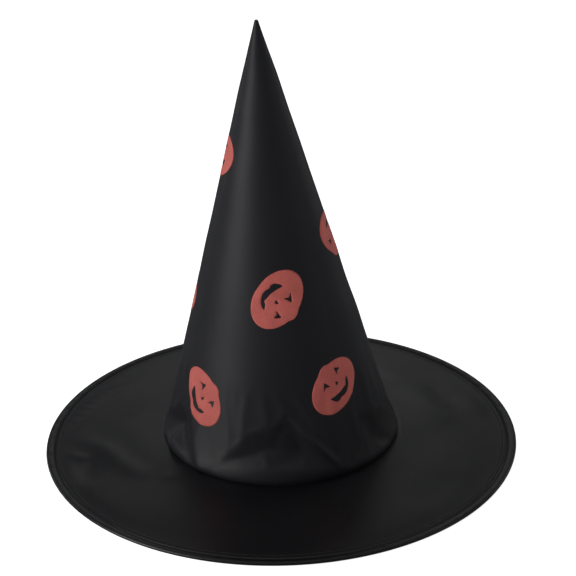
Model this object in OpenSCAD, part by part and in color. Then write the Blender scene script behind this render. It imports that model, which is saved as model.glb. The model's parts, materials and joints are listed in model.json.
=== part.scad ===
// Witch hat: a tall pointed crown of printed cloth, sewn to a wide round brim.
// Millimetres, +Z up. The brim lies on z = 0, centred on the Z axis. The front
// faces -Y, the crown's one seam is at +Y, and the crown leans towards -X.

/* [Hat] */
// Diameter across the brim
brim_d = 380; // [320:5:460]
// Height of the tip above the surface that the brim lies on
hat_h = 344; // [240:1:420]
// Diameter of the head opening
head_d = 184.6; // [150:0.1:215]
// Angle by which the crown leans sideways
crown_lean = 1.65; // [0:0.05:4]
// Radius of the rounded tip
tip_r = 1.6; // [1:0.1:4]

/* [Cloth] */
// Thickness of the cloth
cloth_t = 0.4; // [0.2:0.05:0.6]
// Height of the crown's turned-in lower edge
hem_h = 8; // [5:0.5:15]
// Width, at the base, of each seam allowance down the crown's back, which tapers towards the tip
back_allow_w = 8; // [5:0.5:12]
// Thickness of the stiffener inside the crown
crown_stiff_t = 0.8; // [0.4:0.1:2]
// Distance from the tip down to the top of the crown's stiffener
crown_stiff_stop = 60; // [50:1:100]

/* [Brim] */
// Height by which the brim rises from its edge to the crown
brim_rise = 6; // [2:0.5:15]
// Thickness of the stiffener inside the brim
brim_stiff_t = 1.2; // [0.6:0.1:3]
// Distance from the brim's edge in to its topstitching
topstitch_in = 7; // [6:0.5:12]
// Distance between the two rows of topstitching
row_gap = 3.7; // [2:0.1:6]
// Diameter of the wire hoop in the brim's edge
wire_d = 1.6; // [1:0.1:2.4]
// Wall of the sleeve that joins the wire's ends
sleeve_t = 0.3; // [0.2:0.05:0.5]
// Length of the sleeve that joins the wire's ends
sleeve_l = 20; // [10:1:40]

/* [Sweatband] */
// Width of the sweatband
band_w = 25; // [15:1:40]
// Thickness of the sweatband
band_t = 0.8; // [0.4:0.1:1.5]
// Width of the blank care label
label_w = 24; // [15:1:40]
// Height of the blank care label
label_h = 15; // [8:1:16]
// Thickness of the blank care label
label_t = 0.2; // [0.1:0.05:0.4]

/* [Stitching] */
// Diameter of the sewing thread
thread_d = 0.4; // [0.2:0.05:0.6]

/* [Print] */
// Width of one printed pumpkin
print_w = 49; // [30:1:60]
// Height of one printed pumpkin without its stem
print_h = 35; // [22:1:45]
// Thickness of the printed film
print_t = 0.15; // [0.05:0.05:0.3]

/* [Clearances] */
// Clearance between the edge channel and the wire's sleeve
channel_clear = 0.05; // [0.02:0.01:0.5]
// Gap between the wire's two ends inside the sleeve
wire_gap = 0.6; // [0.2:0.1:2]
// Distance from the head opening's edge out to the innermost turned-up layer
seam_inset = 0.35; // [0.3:0.05:2]
// Gap between the crown's stiffener and the seam allowances beside and below it
stiff_gap = 1; // [0.3:0.1:3]

/* [Hidden] */

$fn = 96;
// How far a leaning layer is drawn past the level cut at its foot
over = 6;
// Straight steps in each drawn arc
arc_steps = 8;

// Width of the level seat round the crown on the brim
seat_w = 3;
// How far the back seam allowances run on above the crown's stiffener
allow_past_stiff = 10;
// Distance of the sweatband's stitching from its upper edge
band_stitch_in = 2;

brim_r = brim_d / 2;
open_r = head_d / 2;
brim_t = 2 * cloth_t + brim_stiff_t;
seam_z = brim_rise + brim_t;

// Edge channel: the wire's centre, the channel's radius and its outside
channel_r = wire_d / 2 + sleeve_t + channel_clear;
rim_r = channel_r + cloth_t;
wire_ring_r = brim_r - rim_r;
wire_z = rim_r;
stitch_r = brim_r - topstitch_in;
valley_w = 2 * thread_d;
stiff_edge_r = stitch_r - valley_w;

// Crown: outer cone through the base radius, with its sharp point apex_h up its axis
layers_in = 3 * cloth_t;
rough_angle = atan2(open_r, hat_h - seam_z);
crown_r = open_r + seam_inset + layers_in / cos(rough_angle);
apex_h = (hat_h - seam_z) / cos(crown_lean) + tip_r * (1 / sin(rough_angle) - 1);
half_angle = atan2(crown_r, apex_h);
tip_c = apex_h - tip_r / sin(half_angle);
seat_r = crown_r + seat_w;
band_off = cloth_t + max(2 * cloth_t, crown_stiff_t);
band_stitch_h = (band_w - band_stitch_in) * cos(half_angle);
back_allow_a = asin(back_allow_w / crown_r);
stiff_top = apex_h - crown_stiff_stop;
allow_top = stiff_top + allow_past_stiff;

// A leaning cone's level section has its centre a little off the cone's axis
lean_shift = apex_h * (cos(crown_lean) * (tan(half_angle + crown_lean) - tan(half_angle - crown_lean)) / 2
    - sin(crown_lean));

// Where each printed pumpkin sits: azimuth from the front, share of the way up the slant, and its own turn
PRINTS = [
    [5, 0.404, -130],
    [37, 0.192, 36],
    [-48, 0.169, -45],
    [-100, 0.688, 12],
    [88, 0.496, 160],
    [-101, 0.367, -20],
    [104, 0.109, -75],
    [-122, 0.115, 140],
    [162, 0.178, 20],
    [146, 0.395, -165],
    [139, 0.636, 85]
];

function print_name(i) = str("pumpkin_print_", i < 10 ? "0" : "", i);

// Radius of the surface that lies off inside the crown's outer cone, at height h in the crown's frame
function cone_r(off, h) = (apex_h - h) * tan(half_angle) - off / cos(half_angle);

// Height of the brim's top face at radius r, between the crown's seat and the stiffener's edge
function brim_top_z(r) = brim_t + brim_rise * (stiff_edge_r - r) / (stiff_edge_r - seat_r);

function arc(c, r, a0, a1) = [for (i = [0 : arc_steps])
    let (a = a0 + (a1 - a0) * i / arc_steps) [c.x + r * cos(a), c.y + r * sin(a)]];

// Angle on a circle of radius r round c where a line from p meets it tangentially from above
function tangent_angle(p, c, r) = 90 + atan2(c.y - p.y, c.x - p.x) + asin(r / norm(c - p));

// ---- The crown's frame and what is cut at the seam ----

module crown_frame() {
    translate([-lean_shift, 0, seam_z])
        rotate([0, -crown_lean, 0])
            children();
}

// Leaves only what stands above the brim's top
module above_brim(z = seam_z) {
    intersection() {
        crown_frame() children();
        translate([-brim_r, -brim_r, z]) cube([brim_d, brim_d, 2 * hat_h]);
    }
}

// Conical layer between two depths inside the crown's outer cone, sweep degrees wide from azimuth start
module cone_layer(off0, off1, h0, h1, start = 0, sweep = 360) {
    rotate([0, 0, start])
        rotate_extrude(angle = sweep)
            polygon([
                [cone_r(off1, h0), h0],
                [cone_r(off0, h0), h0],
                [cone_r(off0, h1), h1],
                [cone_r(off1, h1), h1]
            ]);
}

// ---- Crown ----

module crown_shell() {
    inner_tip_r = tip_r - cloth_t;
    rotate_extrude()
        polygon(concat(
            [[cone_r(2 * cloth_t, -over), -over], [cone_r(0, -over), -over]],
            arc([0, tip_c], tip_r, half_angle, 90),
            arc([0, tip_c], inner_tip_r, 90, half_angle),
            [[cone_r(cloth_t, hem_h), hem_h], [cone_r(2 * cloth_t, hem_h), hem_h]]
        ));
}

module crown_cone() {
    color([0.12, 0.12, 0.135])
        above_brim()
            crown_shell();
}

// The crown's seam allowances, pressed open down the back
module back_seam() {
    color([0.12, 0.12, 0.135])
        crown_frame()
            cone_layer(cloth_t, 2 * cloth_t, hem_h, allow_top, 90 - back_allow_a, 2 * back_allow_a);
}

// Butts against the seam allowances at the back
module crown_stiffener() {
    slot_a = asin((back_allow_w + stiff_gap) / crown_r);
    foot = hem_h + stiff_gap;
    color([0.75, 0.75, 0.72])
        crown_frame()
            cone_layer(cloth_t, cloth_t + crown_stiff_t, foot, stiff_top, 90 + slot_a, 360 - 2 * slot_a);
}

// ---- Brim ----

// Ring whose lower and upper faces lie z0 and z1 above the brim's underside
module brim_layer(z0, z1) {
    rotate_extrude()
        polygon([
            [open_r, brim_rise + z0],
            [seat_r, brim_rise + z0],
            [stiff_edge_r, z0],
            [stiff_edge_r, z1],
            [seat_r, brim_rise + z1],
            [open_r, brim_rise + z1]
        ]);
}

module brim_underside() {
    wire_c = [wire_ring_r, wire_z];
    color([0.11, 0.11, 0.12])
        rotate_extrude()
            polygon(concat(
                [[open_r, brim_rise], [seat_r, brim_rise], [stiff_edge_r, 0]],
                arc(wire_c, rim_r, -90, 0),
                arc(wire_c, channel_r, 0, -90),
                [[stiff_edge_r, cloth_t], [seat_r, brim_rise + cloth_t], [open_r, brim_rise + cloth_t]]
            ));
}

module brim_stiffener() {
    color([0.8, 0.8, 0.77])
        brim_layer(cloth_t, cloth_t + brim_stiff_t);
}

module brim_top_ring() {
    wire_c = [wire_ring_r, wire_z];
    valley_up = [stitch_r, 2 * cloth_t];
    valley_low = [stitch_r, cloth_t];
    rotate_extrude()
        difference() {
            polygon(concat(
                [[open_r, seam_z], [seat_r, seam_z], [stiff_edge_r, brim_t], valley_up],
                arc(wire_c, rim_r, tangent_angle(valley_up, wire_c, rim_r), 0),
                arc(wire_c, channel_r, 0, tangent_angle(valley_low, wire_c, channel_r)),
                [valley_low, [stiff_edge_r, brim_t - cloth_t]],
                [[seat_r, seam_z - cloth_t], [open_r, seam_z - cloth_t]]
            ));
            topstitch_rows();
        }
}

// Section through both rows of topstitching, whose threads lie half sunk in the cloth
module topstitch_rows() {
    inner_r = stitch_r - row_gap;
    translate([stitch_r, 2 * cloth_t]) circle(d = thread_d);
    translate([inner_r, brim_top_z(inner_r)]) circle(d = thread_d);
}

// The top cloth also turns up inside the crown, where the crown's hem is sewn to it
module brim_top() {
    color([0.12, 0.12, 0.13]) {
        brim_top_ring();
        above_brim(seam_z - cloth_t / 2)
            cone_layer(2 * cloth_t, layers_in, -over, hem_h);
    }
}

module rim_wire() {
    color([0.7, 0.7, 0.72])
        difference() {
            translate([0, 0, wire_z])
                rotate_extrude()
                    translate([wire_ring_r, 0]) circle(d = wire_d);
            translate([-wire_gap / 2, 0, 0]) cube([wire_gap, brim_r, 2 * wire_z]);
        }
}

module wire_sleeve() {
    sleeve_a = sleeve_l / (PI * wire_ring_r) * 180;
    color([0.78, 0.76, 0.7])
        translate([0, 0, wire_z])
            rotate([0, 0, 90 - sleeve_a / 2])
                rotate_extrude(angle = sleeve_a)
                    translate([wire_ring_r, 0])
                        difference() {
                            circle(r = wire_d / 2 + sleeve_t);
                            circle(r = wire_d / 2);
                        }
}

module rim_topstitch() {
    color([0.16, 0.16, 0.17])
        rotate_extrude()
            topstitch_rows();
}

// ---- Sweatband ----

module band_thread() {
    translate([0, 0, band_stitch_h])
        rotate_extrude()
            translate([cone_r(band_off + band_t, band_stitch_h), 0]) circle(d = thread_d);
}

module sweatband() {
    color([0.2, 0.2, 0.2])
        difference() {
            above_brim()
                cone_layer(band_off, band_off + band_t, -over, band_w * cos(half_angle));
            crown_frame() band_thread();
        }
}

module sweatband_stitch() {
    color([0.1, 0.1, 0.1])
        crown_frame() band_thread();
}

// Lies on the sweatband at the back, with its top edge caught just under the stitching
module care_label() {
    label_off = band_off + band_t;
    label_top = band_stitch_h - thread_d;
    color([0.92, 0.92, 0.9])
        crown_frame()
            intersection() {
                cone_layer(label_off, label_off + label_t, label_top - label_h, label_top);
                translate([-label_w / 2, 0, 0]) cube([label_w, brim_r, apex_h]);
            }
}

// ---- Printed pumpkins, drawn on the flat with x to the right and y up ----

DRAWN_W = 49;
DRAWN_H = 35;
PUMPKIN = concat(
    [for (a = [100 : 10 : 250]) [DRAWN_W / 2 * cos(a), DRAWN_H / 2 * sin(a)]],
    [[-4, -17], [5, -17]],
    [for (a = [290 : 10 : 430]) [DRAWN_W / 2 * cos(a), DRAWN_H / 2 * sin(a)]],
    [[5.4, 18.9], [1, 19.2]]
);
LEFT_EYE = [[-4.5, 10.5], [-10.5, 4.9], [-6.3, 6.4], [-3.3, 3.1]];
RIGHT_EYE = [[9.4, 10.8], [7, 3.8], [9.4, 6.6], [13.4, 5.8]];
NOSE = [[2.1, 3.2], [0.4, -0.8], [4, -0.2]];
GRIN = [
    [-11, -2.2], [-5.7, -4.8], [0, -6.7], [4.1, -6.8], [6.4, -7.6], [8.2, -5.2], [12.4, -3],
    [11.5, -6], [8.7, -9.2], [3.5, -11.5], [-0.7, -11.3], [-3.2, -9.6], [-5.8, -10.6], [-8.7, -8.9],
    [-10.2, -5.8]
];

function turned(p, a) = [p.x * cos(a) - p.y * sin(a), p.x * sin(a) + p.y * cos(a)];

// A flat point wrapped on the cone, then seen along the normal at the print's centre
function wrapped(p, slant) =
    let (
        rho = norm([p.x, slant - p.y]),
        th = atan2(p.x, slant - p.y) / sin(half_angle),
        r = rho * sin(half_angle),
        dz = (slant - rho) * cos(half_angle),
        dr = r * cos(th) - slant * sin(half_angle)
    ) [r * sin(th), dz * cos(half_angle) - dr * sin(half_angle)];

module wrapped_shape(shape, slant, turn) {
    stretch = [print_w / DRAWN_W, print_h / DRAWN_H];
    polygon([for (p = shape) wrapped(turned([p.x * stretch.x, p.y * stretch.y], turn), slant)]);
}

module pumpkin_print(i) {
    azimuth = PRINTS[i - 1][0];
    h = PRINTS[i - 1][1] * apex_h;
    turn = PRINTS[i - 1][2];
    slant = (apex_h - h) / cos(half_angle);
    depth = min(0.8 * slant * tan(half_angle), print_w / 2);
    color([0.72, 0.29, 0.24])
        crown_frame()
            intersection() {
                cone_layer(-print_t, 0, max(h - print_w, 0), min(h + print_w, tip_c));
                translate([0, 0, h])
                    rotate([0, 0, azimuth])
                        translate([0, -cone_r(0, h), 0])
                            rotate([90 - half_angle, 0, 0])
                                translate([0, 0, -depth])
                                    linear_extrude(depth + 2 * print_t)
                                        difference() {
                                            wrapped_shape(PUMPKIN, slant, turn);
                                            wrapped_shape(LEFT_EYE, slant, turn);
                                            wrapped_shape(RIGHT_EYE, slant, turn);
                                            wrapped_shape(NOSE, slant, turn);
                                            wrapped_shape(GRIN, slant, turn);
                                        }
            }
}

crown_cone();
back_seam();
crown_stiffener();
brim_top();
brim_underside();
brim_stiffener();
rim_wire();
wire_sleeve();
rim_topstitch();
sweatband();
sweatband_stitch();
care_label();
for (i = [1 : len(PRINTS)])
    pumpkin_print(i);
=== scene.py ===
"""Witch hat: a printed cloth crown on a stiffened round brim.

Lengths are millimetres until a mesh is made. Azimuth is 0 at the front and grows towards +X.
"""
import json
import math

import bmesh
import bpy
import numpy as np
from mathutils import Matrix, Vector
from mathutils.geometry import delaunay_2d_cdt


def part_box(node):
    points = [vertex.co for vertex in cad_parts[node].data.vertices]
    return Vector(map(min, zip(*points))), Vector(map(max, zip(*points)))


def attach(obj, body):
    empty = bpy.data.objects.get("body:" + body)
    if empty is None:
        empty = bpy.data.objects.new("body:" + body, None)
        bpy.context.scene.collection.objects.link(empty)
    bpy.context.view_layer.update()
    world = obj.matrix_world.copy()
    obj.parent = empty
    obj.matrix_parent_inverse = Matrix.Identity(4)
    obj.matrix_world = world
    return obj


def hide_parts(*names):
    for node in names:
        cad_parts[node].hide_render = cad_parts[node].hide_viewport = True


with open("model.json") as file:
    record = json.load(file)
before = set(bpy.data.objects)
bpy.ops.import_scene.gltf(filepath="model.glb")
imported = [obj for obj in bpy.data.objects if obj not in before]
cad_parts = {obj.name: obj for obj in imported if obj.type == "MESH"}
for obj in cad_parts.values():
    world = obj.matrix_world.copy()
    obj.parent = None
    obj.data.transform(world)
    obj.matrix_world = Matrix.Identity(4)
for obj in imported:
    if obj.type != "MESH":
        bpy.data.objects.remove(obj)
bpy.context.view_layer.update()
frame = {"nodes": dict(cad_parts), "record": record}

MM = 0.001
TAU = 2 * math.pi


# ---------------------------------------------------------------- sizes, from the frame

def node_box(name):
    """A CAD node's lowest and highest corners in millimetres."""
    lo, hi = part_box(name)
    return lo / MM, hi / MM


MOUNTS = {m["name"]: m for m in frame["record"]["mounts"]}
BRIM_R = node_box("brim_underside")[1].x
OPEN_R = MOUNTS["head_opening"]["dims"]["r_mm"]
SEAM_Z = node_box("sweatband")[0].z
HAT_H = node_box("crown_cone")[1].z
CROWN_R = node_box("crown_cone")[1].y
CLOTH_T = 0.4  # this and the other plain numbers are as in the CAD source
BOARD_T = 1.2
BRIM_RISE = node_box("brim_stiffener")[1].z - (BOARD_T + CLOTH_T)
BRIM_T = SEAM_Z - BRIM_RISE
WIRE_LO, WIRE_HI = node_box("rim_wire")
WIRE_Z = (WIRE_LO.z + WIRE_HI.z) / 2
RIM_ROUND = WIRE_Z
WIRE_RING = BRIM_R - RIM_ROUND
THREAD_R = 0.2
STITCH_R = node_box("rim_topstitch")[1].x - THREAD_R
ROW_GAP = 3.7
HEM_H = 8.0
BAND_W = 25.0
BAND_T = 0.8
LABEL_W, LABEL_H, LABEL_T = 24.0, 15.0, 0.2
LEAN = math.radians(1.65)
TIP_R = 1.6
SEAT_R = CROWN_R + 3.0  # where the brim's slope begins, outside the crown

# The crown's outer cone: its half angle and its sharp point, APEX up its own axis
half = math.atan2(CROWN_R, HAT_H - SEAM_Z)
for _ in range(4):
    APEX = (HAT_H - SEAM_Z) / math.cos(LEAN) + TIP_R * (1 / math.sin(half) - 1)
    half = math.atan2(CROWN_R, APEX)
SIN, COS = math.sin(half), math.cos(half)
SLANT = APEX / COS
TAN_HIGH, TAN_LOW = math.tan(half + LEAN), math.tan(half - LEAN)
LEAN_SHIFT = APEX * (math.cos(LEAN) * (TAN_HIGH - TAN_LOW) / 2 - math.sin(LEAN))
TANGENT = SLANT - TIP_R / math.tan(half)
SLANT_END = TANGENT + TIP_R * (math.pi / 2 - half)


# ---------------------------------------------------------------- small mathematics

def bump(x, width):
    return np.exp(-(x / width) ** 2)


def smooth(x):
    """0 below 0, 1 above 1, with level ends."""
    x = np.clip(x, 0, 1)
    return x * x * (3 - 2 * x)


def waves(rng, count, low, high):
    """Two wave numbers and a phase for each wave of a smooth random field."""
    return [
        (rng.uniform(low, high), rng.uniform(low, high), rng.uniform(0, TAU))
        for _ in range(count)
    ]


def blurred(field, along, across):
    """field smoothed by that many passes along each axis; the first axis closes on itself."""
    for _ in range(along):
        field = (np.roll(field, 1, 0) + 2 * field + np.roll(field, -1, 0)) / 4
    for _ in range(across):
        padded = np.pad(field, ((0, 0), (1, 1)), mode="edge")
        field = (padded[:, :-2] + 2 * padded[:, 1:-1] + padded[:, 2:]) / 4
    return field


# ---------------------------------------------------------------- the crown's surface

def cone_point(theta, s):
    """Point at azimuth theta, in radians, and slant s from the cone's own base circle."""
    arc = np.clip((s - TANGENT) / TIP_R, 0, math.pi / 2 - half)
    r = np.where(s < TANGENT, CROWN_R - s * SIN, TIP_R * np.cos(half + arc))
    h = np.where(s < TANGENT, s * COS, APEX - TIP_R / SIN + TIP_R * np.sin(half + arc))
    x, y = r * np.sin(theta), -r * np.cos(theta)
    return np.stack([
        x * math.cos(LEAN) - h * math.sin(LEAN) - LEAN_SHIFT,
        y,
        SEAM_Z + x * math.sin(LEAN) + h * math.cos(LEAN),
    ], -1)


def seam_slant(theta):
    """Slant at which the leaning cone meets the level seam."""
    tilt = np.sin(theta) * math.sin(LEAN)
    return -CROWN_R * tilt / (COS * math.cos(LEAN) - SIN * tilt)


def slant_at(theta, up):
    """Slant of a point that lies up above the seam; every column ends at the tip."""
    start = seam_slant(theta)
    return start + up * (SLANT_END - start) / SLANT_END


# The crumple just above the seam: corners of flat facets as azimuth in degrees, height above the
# seam and how far each stands out. FOLDS joins corners by name into creases and ridges.
CORNERS = {
    # the wide three-cornered dent at the front
    "peak": (8, 51, 0.4), "left_foot": (-33, 10, 0.9), "right_foot": (28, 9, 1.5),
    "mid_foot": (-6, 12, 0.9), "ridge": (18, 32, 2.4), "deep": (-7, 27, -4.4),
    "gutter": (12, 25, -5.2), "gutter_end": (22, 13, 0.2), "brow": (-15, 39, 0.2),
    # the pinch to its left: a facet that points down, a crease, a pocket and a puff
    "facet_left": (-54, 36, 1.0), "facet_right": (-32, 46, 0.2), "facet_tip": (-42, 3, 2.0),
    "crease_top": (-58, 33, -1.2), "crease_foot": (-49, 6, -1.6), "pocket": (-69, 23, -6.5),
    "puff": (-66, 10, 2.0), "pocket_top": (-72, 38, 0), "pocket_end": (-90, 14, 0.6),
    # faint ones to the right
    "faint_top": (50, 40, 0), "faint_deep": (54, 19, -2.6), "faint_foot": (38, 11, 0.6),
    "side_ridge": (76, 29, 0.6), "side_foot": (83, 3, 0.8), "side_dip": (92, 20, -2.2),
    "side_top": (98, 38, 0), "side_end": (112, 12, 0.6),
    # round the back
    "back_peak": (146, 49, 0.3), "back_deep": (142, 25, -4.2), "back_left": (122, 12, 0.9),
    "back_right": (164, 11, 0.9), "rear_peak": (-132, 47, 0.3), "rear_deep": (-128, 24, -4.6),
    "rear_left": (-108, 12, 0.9), "rear_right": (-152, 11, 0.9), "rear_gutter": (-144, 22, -2.4),
    "last_deep": (-166, 20, -1.6),
}
FOLDS = [
    ("peak", "brow", "left_foot"), ("peak", "ridge", "right_foot"), ("peak", "gutter"),
    ("peak", "deep"), ("deep", "gutter", "gutter_end", "right_foot"), ("ridge", "gutter"),
    ("ridge", "gutter_end"), ("deep", "left_foot"), ("deep", "mid_foot"),
    ("left_foot", "mid_foot", "right_foot"),
    ("facet_left", "facet_right", "facet_tip", "facet_left"),
    ("facet_left", "crease_top", "crease_foot"), ("crease_top", "pocket", "crease_foot"),
    ("pocket", "puff"), ("pocket", "pocket_top"), ("pocket", "pocket_end"),
    ("faint_top", "faint_deep"), ("faint_deep", "faint_foot"), ("side_ridge", "side_foot"),
    ("side_dip", "side_end"), ("back_peak", "back_left"), ("back_peak", "back_right"),
    ("back_peak", "back_deep"), ("back_deep", "back_left"), ("back_deep", "back_right"),
    ("back_left", "back_right"), ("rear_peak", "rear_left"), ("rear_peak", "rear_right"),
    ("rear_deep", "rear_gutter", "rear_right"), ("rear_deep", "rear_left"),
    ("rear_left", "rear_right"),
]
FACETS_TOP = 64  # height above the seam at which the facets have died away
DEG_MM = 1.64  # length of one degree round the foot of the crown
# Narrow crest down the right of the front dent: ends as (azimuth, up), half width and height
CREST = ((6, 52), (30, 9), 2.9, 2.3)


def facets(theta, up):
    """Height of the crumple's flat facets, with sharp edges."""
    names = list(CORNERS)
    corners = list(CORNERS.values())
    for deg in range(-180, 181, 12):
        corners += [(deg, 0, 0), (deg, FACETS_TOP, 0)]
    for deg in (-180, 180):
        corners += [(deg, 20, 0), (deg, 40, 0)]
    edges = [(names.index(a), names.index(b)) for fold in FOLDS for a, b in zip(fold, fold[1:])]
    flat = [Vector((deg * DEG_MM, high)) for deg, high, _ in corners]
    made = delaunay_2d_cdt(flat, edges, [], 0, 1e-4)
    spots = np.array([tuple(v) for v in made[0]])
    heights = np.array([corners[ids[0]][2] if ids else 0.0 for ids in made[3]])
    for k, ids in enumerate(made[3]):
        if not ids:  # a point made where two folds cross
            near = np.argsort(np.linalg.norm(spots[:len(corners)] - spots[k], axis=1))[:2]
            heights[k] = heights[near].mean()
    x, y = np.degrees(theta) * DEG_MM, up
    out = np.zeros(theta.shape)
    for tri in made[2]:
        (x0, y0), (x1, y1), (x2, y2) = spots[list(tri)]
        area = (x1 - x0) * (y2 - y0) - (x2 - x0) * (y1 - y0)
        if abs(area) < 1e-9:
            continue
        w1 = ((x - x0) * (y2 - y0) - (x2 - x0) * (y - y0)) / area
        w2 = ((x1 - x0) * (y - y0) - (x - x0) * (y1 - y0)) / area
        within = (w1 >= -1e-9) & (w2 >= -1e-9) & (w1 + w2 <= 1 + 1e-9)
        value = heights[tri[0]] * (1 - w1 - w2) + heights[tri[1]] * w1 + heights[tri[2]] * w2
        out = np.where(within, value, out)
    return out


def crest_height(theta, up):
    """Height of the narrow crest, which fades towards both its ends."""
    (deg_a, up_a), (deg_b, up_b), width, height = CREST
    x = np.degrees(theta) * DEG_MM - deg_a * DEG_MM
    y = up - up_a
    run, rise = (deg_b - deg_a) * DEG_MM, up_b - up_a
    length = math.hypot(run, rise)
    along = (x * run + y * rise) / length**2
    across = (x * rise - y * run) / length
    return height * bump(across, width) * np.clip(4 * along * (1 - along), 0, 1)


def crown_relief(theta, up):
    """How far the cloth stands out from the plain cone, along its normal."""
    out = blurred(facets(theta, up), 2, 2) + crest_height(theta, up)
    rng = np.random.default_rng(7)
    calm = smooth(up / 14) * smooth((SLANT_END - up) / 60)
    soft = sum(np.sin(round(a) * theta + b * up / 34 + p) for a, b, p in waves(rng, 9, 1, 5))
    out = out + 0.05 * soft * calm
    deg = np.degrees(theta)
    # the two faint straight edges where the cone was folded flat
    for edge in (-84, 86):
        line = 0.7 * bump(deg - edge, 7)
        out = out + line * smooth(up / 25) * smooth((SLANT_END - up) / 50)
    # the roll of cloth over the seam
    out = out + 1.5 * (up / 5) * np.exp(1 - up / 5)
    # the seam down the back draws the cloth in
    back = np.abs(np.abs(deg) - 180) * math.pi / 180 * (CROWN_R - up * SIN)
    out = out - 0.9 * bump(back, 1.3) * smooth((SLANT_END - up) / 12) - 0.5 * bump(back, 9) * calm
    pucker = np.sin(up * TAU / 11) + 0.6 * np.sin(up * TAU / 6.3 + 1)
    return out + 0.16 * pucker * bump(back - 4, 5) * calm


class Surface:
    """A grid of points, closed round its first axis, read between its points and off its face."""

    def __init__(self, points, ups, normals=None):
        self.points = points
        self.ups = ups
        self.count = len(points)
        self.normals = self.outward() if normals is None else normals

    def outward(self):
        """Unit normals; at the tip, the mean of the row below it."""
        points = self.points
        round_ = np.roll(points, -1, 0) - np.roll(points, 1, 0)
        along = np.gradient(points, axis=1)
        normal = np.cross(round_, along)
        length = np.linalg.norm(normal, axis=-1, keepdims=True)
        normal = normal / np.maximum(length, 1e-9)
        normal[:, -1] = normal[:, -2].mean(0) / np.linalg.norm(normal[:, -2].mean(0))
        return normal

    def at(self, theta, up, off=0.0):
        theta, up = np.broadcast_arrays(np.asarray(theta, float), np.asarray(up, float))
        i = (theta + math.pi) / TAU * self.count
        i0 = np.floor(i).astype(int)
        j = np.interp(up, self.ups, np.arange(len(self.ups)))
        j0 = np.clip(np.floor(j).astype(int), 0, len(self.ups) - 2)
        point, normal = 0, 0
        for di, wi in enumerate(self.weights(i - i0)):
            for dj, wj in enumerate(self.weights(j - j0)):
                ii = (i0 + di - 1) % self.count
                jj = np.clip(j0 + dj - 1, 0, len(self.ups) - 1)
                w = (wi * wj)[..., None]
                point = point + w * self.points[ii, jj]
                normal = normal + w * self.normals[ii, jj]
        normal = normal / np.maximum(np.linalg.norm(normal, axis=-1, keepdims=True), 1e-9)
        return point + normal * np.asarray(off, float)[..., None]

    @staticmethod
    def weights(t):
        """Catmull-Rom weights of four neighbours."""
        return (
            (-t + 2 * t**2 - t**3) / 2,
            (2 - 5 * t**2 + 3 * t**3) / 2,
            (t + 4 * t**2 - 3 * t**3) / 2,
            (-(t**2) + t**3) / 2,
        )


# ---------------------------------------------------------------- meshes

def link(mesh, name):
    obj = bpy.data.objects.new(name, mesh)
    bpy.context.scene.collection.objects.link(obj)
    return obj


def make_mesh(name, verts, faces, uvs=None):
    """An object from millimetre points; uvs gives each face corner its place on the flat."""
    mesh = bpy.data.meshes.new(name)
    mesh.from_pydata((np.asarray(verts, float) * MM).tolist(), [], faces)
    if uvs is not None:
        layer = mesh.uv_layers.new(name="cloth")
        layer.data.foreach_set("uv", np.asarray(uvs, float).ravel() * MM)
    mesh.validate()
    mesh.update()
    mesh.shade_smooth()
    return link(mesh, name)


def sheet_mesh(name, outer, inner, flat, wrap=True, flip=False, pole=False):
    """Closed sheet between two grids of points, with flat as its uvs.

    wrap joins the first axis to itself, and pole joins the points at the tip.
    """
    n, m = outer.shape[:2]
    verts = np.concatenate([outer.reshape(-1, 3), inner.reshape(-1, 3)])
    columns = np.arange(n if wrap else n - 1)
    groups = []

    def quads(i, j, *corners):
        """Faces for every i and j; a corner is its side and its steps along i and j."""
        i, j = (x.ravel() for x in np.meshgrid(i, j, indexing="ij"))
        groups.append(np.stack([
            np.stack([side * n * m + (i + di) % n * m + j + dj, i + di, j + dj], -1)
            for side, di, dj in corners
        ], 1))

    rows = np.arange(m - 1)
    quads(columns, rows, (0, 0, 0), (0, 1, 0), (0, 1, 1), (0, 0, 1))
    quads(columns, rows, (1, 0, 0), (1, 0, 1), (1, 1, 1), (1, 1, 0))
    quads(columns, [0], (0, 0, 0), (1, 0, 0), (1, 1, 0), (0, 1, 0))
    quads(columns, [m - 1], (0, 0, 0), (0, 1, 0), (1, 1, 0), (1, 0, 0))
    if not wrap:
        quads([0], rows, (0, 0, 0), (0, 0, 1), (1, 0, 1), (1, 0, 0))
        quads([n - 1], rows, (0, 0, 0), (1, 0, 0), (1, 0, 1), (0, 0, 1))
    made = np.concatenate(groups)
    if flip:
        made = made[:, ::-1]
    obj = make_mesh(name, verts, made[..., 0].tolist(), flat[made[..., 1], made[..., 2]])
    return welded(obj) if pole else obj


def welded(obj):
    """Joins points that fall together, as at the crown's tip."""
    bm = bmesh.new()
    bm.from_mesh(obj.data)
    bmesh.ops.remove_doubles(bm, verts=bm.verts, dist=1e-7)
    bmesh.ops.dissolve_degenerate(bm, edges=bm.edges, dist=1e-7)
    bm.to_mesh(obj.data)
    bm.free()
    obj.data.shade_smooth()
    return obj


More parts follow.
